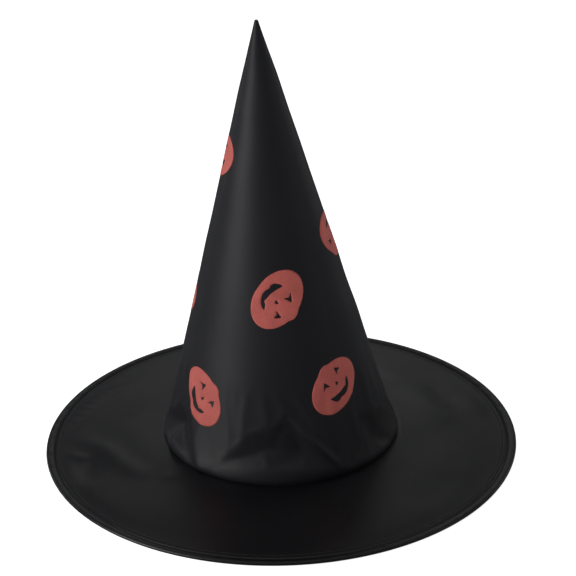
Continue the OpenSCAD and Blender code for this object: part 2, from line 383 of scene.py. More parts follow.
def tube_mesh(name, paths, radius, sides=8):
    """Round-ended tubes along short open paths: one capsule for each stitch."""
    verts, faces = [], []
    for path in paths:
        path = np.asarray(path, float)
        tangent = np.gradient(path, axis=0)
        tangent /= np.linalg.norm(tangent, axis=1, keepdims=True)
        up = np.array([0.0, 0.0, 1.0])
        side = np.cross(tangent, up)
        side /= np.linalg.norm(side, axis=1, keepdims=True)
        lift = np.cross(side, tangent)
        t = np.linspace(0, 1, len(path))
        fat = radius * np.sqrt(np.clip(1 - (2 * t - 1) ** 6, 0.02, 1))
        base = len(verts)
        for k in range(len(path)):
            for q in range(sides):
                a = TAU * q / sides
                verts.append(path[k] + fat[k] * (math.cos(a) * side[k] + math.sin(a) * lift[k]))
        for k in range(len(path) - 1):
            for q in range(sides):
                a, b = base + k * sides + q, base + k * sides + (q + 1) % sides
                faces.append([a, b, b + sides, a + sides])
        faces.append([base + q for q in reversed(range(sides))])
        faces.append([base + (len(path) - 1) * sides + q for q in range(sides)])
    return make_mesh(name, verts, faces)


# ---------------------------------------------------------------- crown pieces

CLOTH = 0.38  # a cloth's mesh, just thinner than its CAD solid so that layers stay apart
GAP = 0.02  # between two layers
LAYER = CLOTH + GAP
COLUMNS = 360
THETA = -math.pi + TAU * np.arange(COLUMNS) / COLUMNS
CRUMPLED = 112  # height above the seam that has close rows of points
UPS = np.concatenate([
    np.arange(0, CRUMPLED, 1.6),
    np.arange(CRUMPLED, TANGENT - 6, 4.0),
    np.linspace(TANGENT - 5, TANGENT, 4),
    np.linspace(TANGENT, SLANT_END, 7)[1:],
])


def crown_surface():
    """The crumpled cone, before its cloth has settled."""
    theta, up = np.meshgrid(THETA, UPS, indexing="ij")
    base = Surface(cone_point(theta, slant_at(theta, up)), UPS)
    points = base.points + base.normals * crown_relief(theta, up)[..., None]
    points[:, -1] = points[:, -1].mean(0)
    return Surface(points, UPS)


SIM_TOP = 100.0  # height above the seam of the part that settles
SIM_FREE = 62.0  # height below which it is not held
SIM_HOLD = 30.0  # run over which the hold grows to full
SIM_STEP = 2.5  # between rows of points
SIM_COLUMNS = 236
SIM_FRAMES = 26
SIM_CAP = 1.5  # furthest that a point may move
SIM_SLACK = 0.004  # share by which the cloth is too long, most at SLACK_UP
SLACK_UP = 26


def settled(surface):
    """The surface once its lowest part has settled as cloth, held at the seam and above."""
    ups = np.arange(0, SIM_TOP + SIM_STEP / 2, SIM_STEP)
    theta = -math.pi + TAU * np.arange(SIM_COLUMNS) / SIM_COLUMNS
    t, u = np.meshgrid(theta, ups, indexing="ij")
    start = surface.at(t, u)
    n, m = t.shape
    i, j = (x.ravel() for x in np.meshgrid(np.arange(n), np.arange(m - 1), indexing="ij"))
    right = (i + 1) % n
    faces = np.stack([i * m + j, right * m + j, right * m + j + 1, i * m + j + 1], -1)
    mesh = bpy.data.meshes.new("settling")
    mesh.from_pydata((start.reshape(-1, 3) * MM).tolist(), [], faces.tolist())
    obj = link(mesh, "settling")
    held = obj.vertex_groups.new(name="held")
    hold = np.maximum(smooth((u - SIM_FREE) / SIM_HOLD), (u < 1).astype(float)).ravel()
    for k, weight in enumerate(hold):
        if weight > 0:
            held.add([k], float(weight), "REPLACE")
    obj.shape_key_add(name="start")
    rest = obj.shape_key_add(name="rest")
    growth = np.cumsum(SIM_STEP * SIM_SLACK * bump(ups - SLACK_UP, SLACK_UP))
    longer = start + np.array([0, 0, 1.0]) * growth[None, :, None]
    rest.data.foreach_set("co", (longer * MM).ravel())
    cloth = obj.modifiers.new("cloth", "CLOTH").settings
    cloth.rest_shape_key = rest
    cloth.quality = 8
    cloth.mass = 0.15
    cloth.air_damping = 4
    cloth.tension_stiffness = cloth.compression_stiffness = 80
    cloth.shear_stiffness = 40
    cloth.bending_model = "ANGULAR"
    cloth.bending_stiffness = 3
    cloth.tension_damping = cloth.compression_damping = cloth.shear_damping = 10
    cloth.effector_weights.gravity = 0.1
    cloth.vertex_group_mass = "held"
    cloth.pin_stiffness = 1
    scene = bpy.context.scene
    for frame_number in range(1, SIM_FRAMES + 1):
        scene.frame_set(frame_number)
    done = obj.evaluated_get(bpy.context.evaluated_depsgraph_get())
    co = np.empty(n * m * 3)
    done.data.vertices.foreach_get("co", co)
    scene.frame_set(1)
    bpy.data.objects.remove(obj)
    moved = co.reshape(n, m, 3) / MM - start
    length = np.linalg.norm(moved, axis=-1, keepdims=True)
    moved *= np.minimum(1, SIM_CAP / np.maximum(length, 1e-9))
    field = Surface(moved, ups, normals=np.zeros_like(moved))
    low = surface.ups <= SIM_TOP
    t, u = np.meshgrid(THETA, surface.ups[low], indexing="ij")
    points = surface.points.copy()
    points[:, low] += field.at(t, u)
    return Surface(points, surface.ups)


crown = crown_surface()
crown = settled(crown)


def cone_flat(theta, up):
    """Where a point of the crown lies on its flat cut, which opens at the back seam."""
    rho = SLANT_END - np.asarray(up, float)
    angle = np.asarray(theta, float) * SIN
    return np.stack(np.broadcast_arrays(rho * np.sin(angle), -rho * np.cos(angle)), -1)


def crown_grids(theta, side_a, side_b):
    """Grids of a layer's two faces, each a list of (up, off), and of its flat cut."""
    grids = []
    for side in (side_a, side_b):
        up, off = np.array(side, float).T
        t, u = np.meshgrid(theta, up, indexing="ij")
        grids.append(crown.at(t, u, np.broadcast_to(off, t.shape)))
    t, u = np.meshgrid(np.append(theta, theta[0] + TAU), np.array(side_a)[:, 0], indexing="ij")
    return grids[0], grids[1], cone_flat(t, u)


def make_crown():
    """The crown's cloth with its lower edge folded in and up as a hem."""
    top = [(u, 0.0) for u in UPS[::-1] if u > 1]
    under = [(u if u < SLANT_END - 0.5 else SLANT_END, -CLOTH) for u, _ in top]
    turn = [math.pi * k / 8 for k in range(9)]
    side_a = top + [(LAYER * (1 - math.sin(a)), LAYER * (math.cos(a) - 1)) for a in turn]
    side_b = under + [(LAYER - GAP * math.sin(a), GAP * math.cos(a) - LAYER) for a in turn]
    for u in np.arange(1.5, HEM_H + 0.1, 1.3):
        side_a.append((u, -2 * LAYER))
        side_b.append((u, -2 * LAYER + CLOTH))
    return sheet_mesh("crown_cloth", *crown_grids(THETA, side_a, side_b), pole=True)


def strip_layer(name, off, thick, low, high, start, end, step=1.6):
    """Open layer of the crown's lining, off from its surface, from azimuth start to end."""
    n = max(int(math.radians(end - start) * CROWN_R / step), 3)
    theta = np.radians(np.linspace(start, end, n + 1))
    ups = np.arange(low, high + 0.01, step if high - low < 120 else 3.2)
    t, u = np.meshgrid(theta, ups, indexing="ij")
    outer, inner = (crown.at(t, u, np.full(t.shape, depth)) for depth in (off, off - thick))
    return sheet_mesh(name, outer, inner, cone_flat(t, u), wrap=False)


# ---------------------------------------------------------------- brim pieces

BRIM_COLUMNS = 600
BRIM_THETA = -math.pi + TAU * np.arange(BRIM_COLUMNS) / BRIM_COLUMNS
STIFF_EDGE = STITCH_R - 0.8
RIM_DEGREES = [88, 66, 44, 24, 8, 0]  # round the wire, from the top out to the edge
RIPPLE = 0.10  # puckers of the cloth over the wire


def near_line(x, y, line, width):
    """1 midway along a line of (radius, azimuth), falling away over width and at its ends."""
    p = np.array([(q * math.sin(math.radians(d)), -q * math.cos(math.radians(d))) for q, d in line])
    p = section(p, 5)
    run = np.linspace(0, 1, len(p))
    total, weight = 0, 1e-9
    for (px, py), t in zip(p, run):
        w = np.exp(-((x - px) ** 2 + (y - py) ** 2) / width**2)
        total = total + w * w * (4 * t * (1 - t)) ** 0.5
        weight = weight + w
    return total / weight


# Long soft folds of the brim: a line of (radius, azimuth in degrees), half width and height
BRIM_FOLDS = [
    ([(162, -88), (144, -80), (134, -68), (128, -56)], 9, 1.7),
    ([(170, -63), (156, -77)], 11, -1.9),
    ([(174, -81), (158, -75)], 5, 0.8),
    ([(179, -96), (169, -113), (148, -127)], 7, 1.3),
    ([(172, -86), (160, -95)], 10, 0.8),
    ([(150, -101), (124, -112)], 12, -1.1),
    ([(134, 122), (127, 108), (134, 90)], 14, 1.9),
    ([(163, 109), (167, 96)], 10, 1.1),
    ([(150, 122), (146, 108)], 12, -1.2),
    ([(142, 140), (132, 128)], 11, 0.9),
    ([(118, -52), (104, -44)], 6, 0.8),
    ([(150, 60), (160, 40)], 14, -0.8),
    ([(150, 158), (158, 176)], 12, 1.3),
    ([(126, -158), (140, -142)], 11, -1.3),
    ([(166, -170), (172, -158)], 9, 1.0),
]


def brim_wave(r, theta):
    """Slow waves of the stiffened brim, still at the rim's wire and at the crown."""
    hold = smooth((r - SEAT_R) / 22) * smooth((BRIM_R - 9 - r) / 14)
    rng = np.random.default_rng(21)
    out = 0
    for a, b, p in waves(rng, 8, 1, 5):
        out = out + 0.10 * np.sin(round(a) * theta + b * r / 42 + p)
    x, y = r * np.sin(theta), -r * np.cos(theta)
    for line, width, height in BRIM_FOLDS:
        out = out + height * near_line(x, y, line, width)
    return out * hold


def section(points, steps=6):
    """Smooth plane curve through the given points."""
    p = np.array(points, float)
    p = np.vstack([2 * p[0] - p[1], p, 2 * p[-1] - p[-2]])
    out = []
    for k in range(1, len(p) - 2):
        for t in np.arange(steps) / steps:
            w = Surface.weights(t)
            out.append(sum(w[i] * p[k - 1 + i] for i in range(4)))
    out.append(p[-2])
    return np.array(out)


def offset(line, depth):
    """The line moved to its right-hand side by depth."""
    tangent = np.gradient(line, axis=0)
    tangent /= np.linalg.norm(tangent, axis=1, keepdims=True)
    return line + depth * np.stack([tangent[:, 1], -tangent[:, 0]], -1)


def slope_line(height, start=SEAT_R, end=STIFF_EDGE, rows=40):
    """Straight run of the brim between the crown's seat and the stiffener's edge."""
    r = np.linspace(start, end, rows)
    return np.stack([r, height + BRIM_RISE * (STIFF_EDGE - r) / (STIFF_EDGE - SEAT_R)], -1)


def spun(line, theta, ripple=0.0):
    """Grid of points from a section line spun round the hat, carried by the brim's waves."""
    r, t = np.meshgrid(line[:, 0], theta, indexing="xy")
    z = line[:, 1][None, :] + brim_wave(r, t)
    channel = smooth((r - STITCH_R - 0.5) / 3) * smooth((BRIM_R - 0.5 - r) / 2)
    rng = np.random.default_rng(5)
    if ripple:
        for a, b, p in waves(rng, 14, 12, 130):
            z = z + ripple * channel * np.sin(round(a) * t + b * 0.01 * r + p) / 3
    return np.stack([r * np.sin(t), -r * np.cos(t), z], -1)


def brim_flat(grid):
    flat = grid[..., :2]
    return np.concatenate([flat, flat[:1]], 0)


def make_brim_top():
    """The top cloth with its stitched groove and the roll over the wire."""
    rim = [(RIM_ROUND * math.cos(a), RIM_ROUND * math.sin(a)) for a in np.radians(RIM_DEGREES)]
    seat = [(OPEN_R + 0.55, SEAM_Z), (SEAT_R - 0.8, SEAM_Z), (SEAT_R, SEAM_Z - 0.02)]
    line = np.vstack([
        section(seat, 3)[:-1],
        slope_line(BRIM_T, end=STITCH_R - 4.6, rows=44),
        section([
            (STITCH_R - 4.2, BRIM_T + 0.27), (STITCH_R - ROW_GAP, BRIM_T + 0.12),
            (STITCH_R - 3.2, BRIM_T + 0.20), (STITCH_R - 1.9, BRIM_T + 0.11),
            (STITCH_R - 0.8, BRIM_T - 0.02), (STITCH_R - 0.3, 1.55), (STITCH_R, 1.42),
            (STITCH_R + 0.3, 1.58), (STITCH_R + 0.9, 2.12), (STITCH_R + 2.4, 2.72),
            (STITCH_R + 4.0, 3.02),
        ], 3)[:-1],
        [(WIRE_RING + x, WIRE_Z + z) for x, z in rim],
    ])
    upper = spun(line, BRIM_THETA, RIPPLE)
    lower = spun(offset(line, CLOTH), BRIM_THETA, RIPPLE)
    return sheet_mesh("brim_top_cloth", upper, lower, brim_flat(upper), flip=True)


def make_brim_under():
    """The underside cloth, whose outer edge lies inside the top cloth's roll."""
    turn = np.radians([2, 24, 46, 66, 82, 89])
    rim = [(RIM_ROUND * math.sin(a), -RIM_ROUND * math.cos(a)) for a in turn]
    line = np.vstack([
        [(r, BRIM_RISE) for r in (OPEN_R, OPEN_R + 2, SEAT_R - 0.8, SEAT_R)],
        slope_line(0, start=SEAT_R + 1.5, rows=44)[:-1],
        [(STITCH_R - 0.4, 0.06), (STITCH_R, 0.16), (STITCH_R + 0.4, 0.06)],
        [(STITCH_R + 2, 0), (STITCH_R + 4, 0)],
        [(WIRE_RING + x, WIRE_Z + z) for x, z in rim],
    ])
    lower = spun(line, BRIM_THETA)
    upper = spun(offset(line, -CLOTH), BRIM_THETA)
    return sheet_mesh("brim_under_cloth", lower, upper, brim_flat(lower))


def make_brim_stiffener():
    theta = BRIM_THETA[::2]
    line = np.vstack([
        [(r, BRIM_RISE + LAYER) for r in (OPEN_R + 0.3, OPEN_R + 2, SEAT_R - 0.8)],
        slope_line(LAYER),
    ])
    lower = spun(line, theta)
    upper = spun(line + [0, BOARD_T - GAP], theta)
    return sheet_mesh("brim_stiffener_sheet", lower, upper, brim_flat(lower))


def make_turn_up():
    """The brim's top cloth turned up inside the crown, where the crown's hem is sewn to it."""
    off = -2 * LAYER - GAP
    ups = np.arange(0, HEM_H + 0.2, 1.35)
    return sheet_mesh("brim_turn_up", *crown_grids(
        THETA, [(u, off) for u in ups], [(u, off - CLOTH + GAP) for u in ups],
    ))


# ---------------------------------------------------------------- prints

# The design drawn on the flat, 49 wide and 35 high, x to the right and y up
def oval(start, end):
    """Part of the pumpkin's outline, anticlockwise between two angles in degrees."""
    turn = [math.radians(a) for a in range(start, end + 1, 10)]
    return [(24.5 * math.cos(a), 17.5 * math.sin(a)) for a in turn]


PUMPKIN = oval(100, 250) + [(-4, -17), (5, -17)] + oval(290, 430) + [(5.4, 18.9), (1, 19.2)]
LEFT_EYE = [(-4.5, 10.5), (-10.5, 4.9), (-6.3, 6.4), (-3.3, 3.1)]
RIGHT_EYE = [(9.4, 10.8), (7, 3.8), (9.4, 6.6), (13.4, 5.8)]
NOSE = [(2.1, 3.2), (0.4, -0.8), (4, -0.2)]
GRIN = [
    (-11, -2.2), (-5.7, -4.8), (0, -6.7), (4.1, -6.8), (6.4, -7.6), (8.2, -5.2), (12.4, -3),
    (11.5, -6), (8.7, -9.2), (3.5, -11.5), (-0.7, -11.3), (-3.2, -9.6), (-5.8, -10.6),
    (-8.7, -8.9), (-10.2, -5.8),
]

# Azimuth, share of the way up and turn of each print, as in the CAD model
PRINTS = [
    (5, 0.404, -130), (37, 0.192, 36), (-48, 0.169, -45), (-100, 0.688, 12), (88, 0.496, 160),
    (-101, 0.367, -20), (104, 0.109, -75), (-122, 0.115, 140), (162, 0.178, 20),
    (146, 0.395, -165), (139, 0.636, 85),
]
PRINT_OUT, PRINT_IN = 0.14, -0.02  # the ink's faces, off the cloth


def rounded_loop(points, step=1.4):
    """Closed outline with even points and slightly softened corners, as ink leaves them."""
    p = np.array(points, float)
    out = []
    for a, b in zip(p, np.roll(p, -1, 0)):
        n = max(int(np.linalg.norm(b - a) / step), 1)
        out += [a + (b - a) * k / n for k in range(n)]
    out = np.array(out)
    return out * 0.7 + 0.15 * (np.roll(out, 1, 0) + np.roll(out, -1, 0))


def inside(points, loop):
    """Which points lie inside a closed loop."""
    x, y = points[:, 0], points[:, 1]
    odd = np.zeros(len(points), bool)
    for (x0, y0), (x1, y1) in zip(loop, np.roll(loop, -1, 0)):
        crosses = (y0 > y) != (y1 > y)
        with np.errstate(divide="ignore", invalid="ignore"):
            odd ^= crosses & (x < (x1 - x0) * (y - y0) / (y1 - y0) + x0)
    return odd


def print_shape():
    """Vertices and triangles of the flat design, left open at the eyes, nose and mouth."""
    loops = [rounded_loop(loop) for loop in (PUMPKIN, LEFT_EYE, RIGHT_EYE, NOSE, GRIN)]
    verts, edges = [], []
    for loop in loops:
        start = len(verts)
        verts += loop.tolist()
        edges += [(start + k, start + (k + 1) % len(loop)) for k in range(len(loop))]
    border = np.array(verts)
    xs, ys = np.meshgrid(np.arange(-25, 26, 1.7), np.arange(-18, 20, 1.5))
    xs = xs + 0.85 * (np.arange(xs.shape[0]) % 2)[:, None]
    spots = np.stack([xs.ravel(), ys.ravel()], -1)
    near = np.min(np.linalg.norm(spots[:, None] - border[None], axis=-1), axis=1)
    keep = inside(spots, loops[0]) & (near > 0.8)
    for hole in loops[1:]:
        keep &= ~inside(spots, hole)
    verts += spots[keep].tolist()
    made = delaunay_2d_cdt([Vector(v) for v in verts], edges, [], 0, 1e-5)
    flat = np.array([tuple(v) for v in made[0]])
    faces = []
    for face in made[2]:
        middle = flat[list(face)].mean(0)[None]
        in_hole = any(inside(middle, hole)[0] for hole in loops[1:])
        if inside(middle, loops[0])[0] and not in_hole:
            faces.append(list(face))
    return flat, faces


PRINT_FLAT, PRINT_FACES = print_shape()


def make_print(number, azimuth, share, turn):
    """One film of ink, bent round the cone without stretching and laid on the cloth."""
    slant = (APEX - share * APEX) / COS
    c, s = math.cos(math.radians(turn)), math.sin(math.radians(turn))
    x = PRINT_FLAT[:, 0] * c - PRINT_FLAT[:, 1] * s
    y = PRINT_FLAT[:, 0] * s + PRINT_FLAT[:, 1] * c
    theta = math.radians(azimuth) + np.arctan2(x, slant - y) / SIN
    rise = SLANT - np.hypot(x, slant - y)
    start = seam_slant(theta)
    up = (rise - start) * SLANT_END / (SLANT_END - start)
    n = len(x)
    top = crown.at(theta, up, np.full(n, PRINT_OUT))
    bottom = crown.at(theta, up, np.full(n, PRINT_IN))
    faces = PRINT_FACES + [[i + n for i in reversed(f)] for f in PRINT_FACES]
    edges = dict.fromkeys((a, b) for f in PRINT_FACES for a, b in zip(f, f[1:] + f[:1]))
    faces += [[a, a + n, b + n, b] for a, b in edges if (b, a) not in edges]
    verts = np.vstack([top, bottom])
    uvs = [(x[i % n], y[i % n]) for f in faces for i in f]
    return make_mesh(f"pumpkin_ink_{number:02d}", verts, faces, uvs)


# ---------------------------------------------------------------- stitches

FILL = 0.72  # share of a stitch's pitch that shows as thread
JITTER = 0.03


def stitch_row(radius, height, count, rng):
    """Paths of the stitches of one row round the brim."""
    paths = []
    for k in range(count):
        jitter = rng.uniform(-JITTER, JITTER)
        a = (k + jitter + FILL * np.linspace(-0.5, 0.5, 7)) / count * TAU
        r = np.full(len(a), radius)
        z = height + brim_wave(r, a)
        bow = 1 - (2 * np.linspace(0, 1, 7) - 1) ** 4
        paths.append(np.stack([r * np.sin(a), -r * np.cos(a), z + (0.14 * bow - 0.06)], -1))
    return paths


def make_stitches():
    rng = np.random.default_rng(11)
    rows = stitch_row(STITCH_R, 1.50, 360, rng)
    rows += stitch_row(STITCH_R - ROW_GAP, BRIM_T + 0.24, 352, rng)
    return tube_mesh("rim_stitches", rows, THREAD_R)


def make_band_stitches():
    rng = np.random.default_rng(12)
    count = 176
    rows = []
    for k in range(count):
        share = FILL * np.linspace(-0.5, 0.5, 6)
        t = (k + share + rng.uniform(-JITTER, JITTER)) / count * TAU - math.pi
        rows.append(crown.at(t, np.full(6, BAND_W - 2.0), np.full(6, -2.02)))
    return tube_mesh("band_stitches", rows, THREAD_R)


# ---------------------------------------------------------------- materials

def material(name, **uniform):
    """A new material, its node tree and its Principled shader set to the uniform values."""
    mat = bpy.data.materials.new(name)
    mat.use_nodes = True
    tree = mat.node_tree
    shader = tree.nodes["Principled BSDF"]
    for key, value in uniform.items():
        shader.inputs[key.replace("_", " ").title().replace("Ior", "IOR")].default_value = value
    return mat, tree, shader


def dressed(mat, tree, shader, colour, roughness, height, relief):
    """The material once its colour, roughness and relief, in metres, vary by these sockets."""
    lumps = node(tree, "ShaderNodeBump", {"Height": height, "Distance": relief})
    tree.links.new(colour, shader.inputs["Base Color"])
    tree.links.new(roughness, shader.inputs["Roughness"])
    tree.links.new(lumps.outputs[0], shader.inputs["Normal"])
    return mat


def node(tree, kind, inputs=None, **settings):
    """A new node; each input is a value or the socket that feeds it."""
    made = tree.nodes.new(kind)
    for key, value in settings.items():
        setattr(made, key, value)
    for key, value in (inputs or {}).items():
        if isinstance(value, bpy.types.NodeSocket):
            tree.links.new(value, made.inputs[key])
        else:
            made.inputs[key].default_value = value
    return made


def noise(tree, coords, scale, detail=3.0, output="Fac"):
    return node(tree, "ShaderNodeTexNoise", {
        "Vector": coords, "Scale": scale, "Detail": detail, "Roughness": 0.55,
    }).outputs[output]


def flat_coords(tree):
    """Metres on the flat cloth."""
    return node(tree, "ShaderNodeUVMap", uv_map="cloth").outputs[0]


def object_coords(tree):
    return node(tree, "ShaderNodeTexCoord").outputs["Object"]


def stretched(tree, coords, scale, rotation=(0.0, 0.0, 0.0)):
    return node(tree, "ShaderNodeMapping", {
        "Vector": coords, "Rotation": rotation, "Scale": scale,
    }).outputs[0]


def mixed(tree, factor, low, high):
    """Colour between low and high as factor goes from 0 to 1."""
    inputs = {0: factor, 6: (*low, 1), 7: (*high, 1)}
    return node(tree, "ShaderNodeMix", inputs, data_type="RGBA").outputs[2]


def ranged(tree, value, low, high, new_low, new_high):
    return node(tree, "ShaderNodeMapRange", {
        "Value": value, "From Min": low, "From Max": high, "To Min": new_low, "To Max": new_high,
    }).outputs["Result"]


def maths(tree, operation, a, b=0.0):
    return node(tree, "ShaderNodeMath", {0: a, 1: b}, operation=operation).outputs[0]


def blend(tree, a, b, share_a, share_b):
    """Weighted sum of two sockets."""
    a, b = maths(tree, "MULTIPLY", a, share_a), maths(tree, "MULTIPLY", b, share_b)
    return maths(tree, "ADD", a, b)


def weave(tree, pitch, coords):
    """Height of a plain weave with threads pitch metres apart, over the flat cloth."""
    shift = noise(tree, coords, 90.0, 2.0, output="Color")
    wobble = (0.00012, 0.00012, 0)
    scaled = node(tree, "ShaderNodeVectorMath", {0: shift, 1: wobble}, operation="MULTIPLY")
    bent = node(tree, "ShaderNodeVectorMath", {0: coords, 1: scaled.outputs[0]}, operation="ADD")
    parts = node(tree, "ShaderNodeSeparateXYZ", {0: bent.outputs[0]})
    turns = math.pi / pitch
    x = maths(tree, "MULTIPLY", parts.outputs[0], turns)
    y = maths(tree, "MULTIPLY", parts.outputs[1], turns)
    warp = maths(tree, "ABSOLUTE", maths(tree, "SINE", x))
    weft = maths(tree, "ABSOLUTE", maths(tree, "SINE", y))
    sign = maths(tree, "MULTIPLY", maths(tree, "COSINE", x), maths(tree, "COSINE", y))
    over = maths(tree, "GREATER_THAN", sign, 0.0)
    return node(tree, "ShaderNodeMix", {0: over, 2: warp, 3: weft}, data_type="FLOAT").outputs[0]


def cloth_material(name, colour, roughness, specular):
    """Plain woven cloth, a little worn, with uneven threads."""
    mat, tree, shader = material(name, specular_ior_level=specular)
    coords = flat_coords(tree)
    height = weave(tree, CLOTH_PITCH, coords)
    threads = noise(tree, stretched(tree, coords, (60.0, 900.0, 1.0)), 1.0, 2.0)
    patches = noise(tree, coords, 14.0, 4.0)
    dark = tuple(c * (1 - SLUB) for c in colour)
    light = tuple(c * (1 + SLUB) for c in colour)
    worn = maths(tree, "ADD", patches, maths(tree, "MULTIPLY", threads, 0.5))
    relief = maths(tree, "ADD", height, maths(tree, "MULTIPLY", threads, 0.7))
    return dressed(
        mat, tree, shader, mixed(tree, blend(tree, height, patches, 0.45, 0.55), dark, light),
        ranged(tree, worn, 0.4, 1.1, roughness - 0.05, roughness + 0.06), relief, 0.000025,
    )


def ink_material():
    """Thin flat ink that lets the weave and a few pinholes show."""
    mat, tree, shader = material("print_ink", specular_ior_level=0.25)
    coords = flat_coords(tree)
    height = weave(tree, CLOTH_PITCH, coords)
    speckle = noise(tree, coords, 900.0)
    patches = noise(tree, coords, 60.0)
    thin = ranged(tree, blend(tree, speckle, patches, 0.5, 0.5), 0.35, 0.65, 0.0, 1.0)
    return dressed(
        mat, tree, shader, mixed(tree, thin, INK_DARK, INK_LIGHT),
        ranged(tree, patches, 0.3, 0.7, 0.62, 0.74), height, 0.00005,
    )


def thread_material():
    mat, tree, shader = material(
        "thread", specular_ior_level=0.3, sheen_weight=0.2, sheen_roughness=0.4,
    )
    twist = node(
        tree, "ShaderNodeTexWave",
        {"Vector": object_coords(tree), "Scale": 1500.0, "Distortion": 2.0}, bands_direction="DIAGONAL",
    ).outputs["Fac"]
    return dressed(
        mat, tree, shader, mixed(tree, twist, (0.006, 0.006, 0.007), (0.018, 0.018, 0.02)),
        ranged(tree, twist, 0.0, 1.0, 0.45, 0.6), twist, 0.00006,
    )


def felt_material(name, dark, light):
    """Pressed fibres of a nonwoven stiffener."""
    mat, tree, shader = material(
        name, specular_ior_level=0.2, sheen_weight=0.15, sheen_roughness=0.6,
    )
    coords = object_coords(tree)
    long_way = stretched(tree, coords, (900.0, 900.0, 160.0))
    cross_way = stretched(tree, coords, (160.0, 900.0, 900.0), rotation=(0.9, 0.4, 0.7))
    fibres = maths(tree, "MAXIMUM", noise(tree, long_way, 1.0), noise(tree, cross_way, 1.0))
    return dressed(
        mat, tree, shader, mixed(tree, ranged(tree, fibres, 0.45, 0.75, 0.0, 1.0), dark, light),
        ranged(tree, fibres, 0.4, 0.8, 0.95, 0.8), fibres, 0.0002,
    )


def ribbed_material():
    """Grosgrain ribs across the sweatband, spaced by the angle on the cone's flat cut."""
    mat, tree, shader = material(
        "sweatband", specular_ior_level=0.3, sheen_weight=0.3, sheen_roughness=0.5,
    )
    coords = flat_coords(tree)
    parts = node(tree, "ShaderNodeSeparateXYZ", {0: coords})
    angle = maths(tree, "ARCTAN2", parts.outputs[0], parts.outputs[1])
    rib = maths(tree, "ABSOLUTE", maths(tree, "SINE", maths(tree, "MULTIPLY", angle, 1250.0)))
    fuzz = noise(tree, coords, 1100.0, 2.0)
    tone = blend(tree, rib, fuzz, 0.6, 0.4)
    return dressed(
        mat, tree, shader, mixed(tree, tone, (0.008, 0.008, 0.009), (0.026, 0.026, 0.029)),
        ranged(tree, fuzz, 0.3, 0.7, 0.75, 0.9), rib, 0.00012,
    )


def label_material():
    """White satin ribbon with a fine weave."""
    mat, tree, shader = material(
        "label", specular_ior_level=0.5, sheen_weight=0.2, sheen_roughness=0.3,
    )
    coords = flat_coords(tree)
    height = weave(tree, 0.0003, coords)
    cloud = noise(tree, coords, 120.0)
    return dressed(
        mat, tree, shader, mixed(tree, cloud, (0.68, 0.68, 0.66), (0.82, 0.82, 0.8)),
        ranged(tree, height, 0.0, 1.0, 0.55, 0.42), height, 0.00003,
    )


def metal_material(name, dark, light, low, high):
    """Drawn metal; low and high are the ends of its roughness."""
    mat, tree, shader = material(name, metallic=1.0)
    lines = noise(tree, stretched(tree, object_coords(tree), (120.0, 120.0, 2200.0)), 1.0)
    return dressed(
        mat, tree, shader, mixed(tree, lines, dark, light),
        ranged(tree, lines, 0.3, 0.7, low, high), lines, 0.00002,
    )


CLOTH_PITCH = 0.0007  # metres between threads
SLUB = 0.25  # share by which the cloth's colour varies
INK_DARK = (0.32, 0.064, 0.053)
INK_LIGHT = (0.45, 0.103, 0.085)
# The crown and the brim are one black cloth given two tones: the crown's copy is lighter (painted
# light) and the brim's copy darker (painted shade), so the brim stays dark under the top light
CROWN_LIT_MAT = cloth_material("crown_cloth", (0.0080, 0.0081, 0.0100), 0.5, 0.24)
BRIM_SHADED_MAT = cloth_material("brim_cloth", (0.0034, 0.0035, 0.0046), 0.34, 0.32)
INK_MAT = ink_material()
THREAD_MAT = thread_material()
LINING_MAT = felt_material("crown_stiffener", (0.035, 0.035, 0.038), (0.11, 0.11, 0.115))
BOARD_MAT = felt_material("brim_stiffener", (0.18, 0.18, 0.175), (0.38, 0.38, 0.365))
BAND_MAT = ribbed_material()
LABEL_MAT = label_material()
STEEL_MAT = metal_material("wire_steel", (0.42, 0.42, 0.44), (0.62, 0.62, 0.64), 0.28, 0.42)
BRASS_MAT = metal_material("sleeve_brass", (0.58, 0.44, 0.20), (0.78, 0.62, 0.32), 0.25, 0.38)


def fitted(obj, mat, slot, *nodes):
    """Gives a piece its material and lets it stand for CAD nodes; slot is not used."""
    obj.data.materials.clear()
    obj.data.materials.append(mat)
    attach(obj, "root")
    if nodes:
        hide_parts(*nodes)
    return obj


# ---------------------------------------------------------------- the pieces

crown_cloth = fitted(make_crown(), CROWN_LIT_MAT, "crown_cloth", "crown_cone")
prints = [
    fitted(make_print(k + 1, *place), INK_MAT, "print_ink", f"pumpkin_print_{k + 1:02d}")
    for k, place in enumerate(PRINTS)
]
brim_top = fitted(make_brim_top(), BRIM_SHADED_MAT, "brim_cloth", "brim_top")
turn_up = fitted(make_turn_up(), BRIM_SHADED_MAT, "brim_cloth", "brim_top")
brim_under = fitted(make_brim_under(), BRIM_SHADED_MAT, "brim_cloth", "brim_underside")
brim_board = fitted(make_brim_stiffener(), BOARD_MAT, "brim_stiffener", "brim_stiffener")

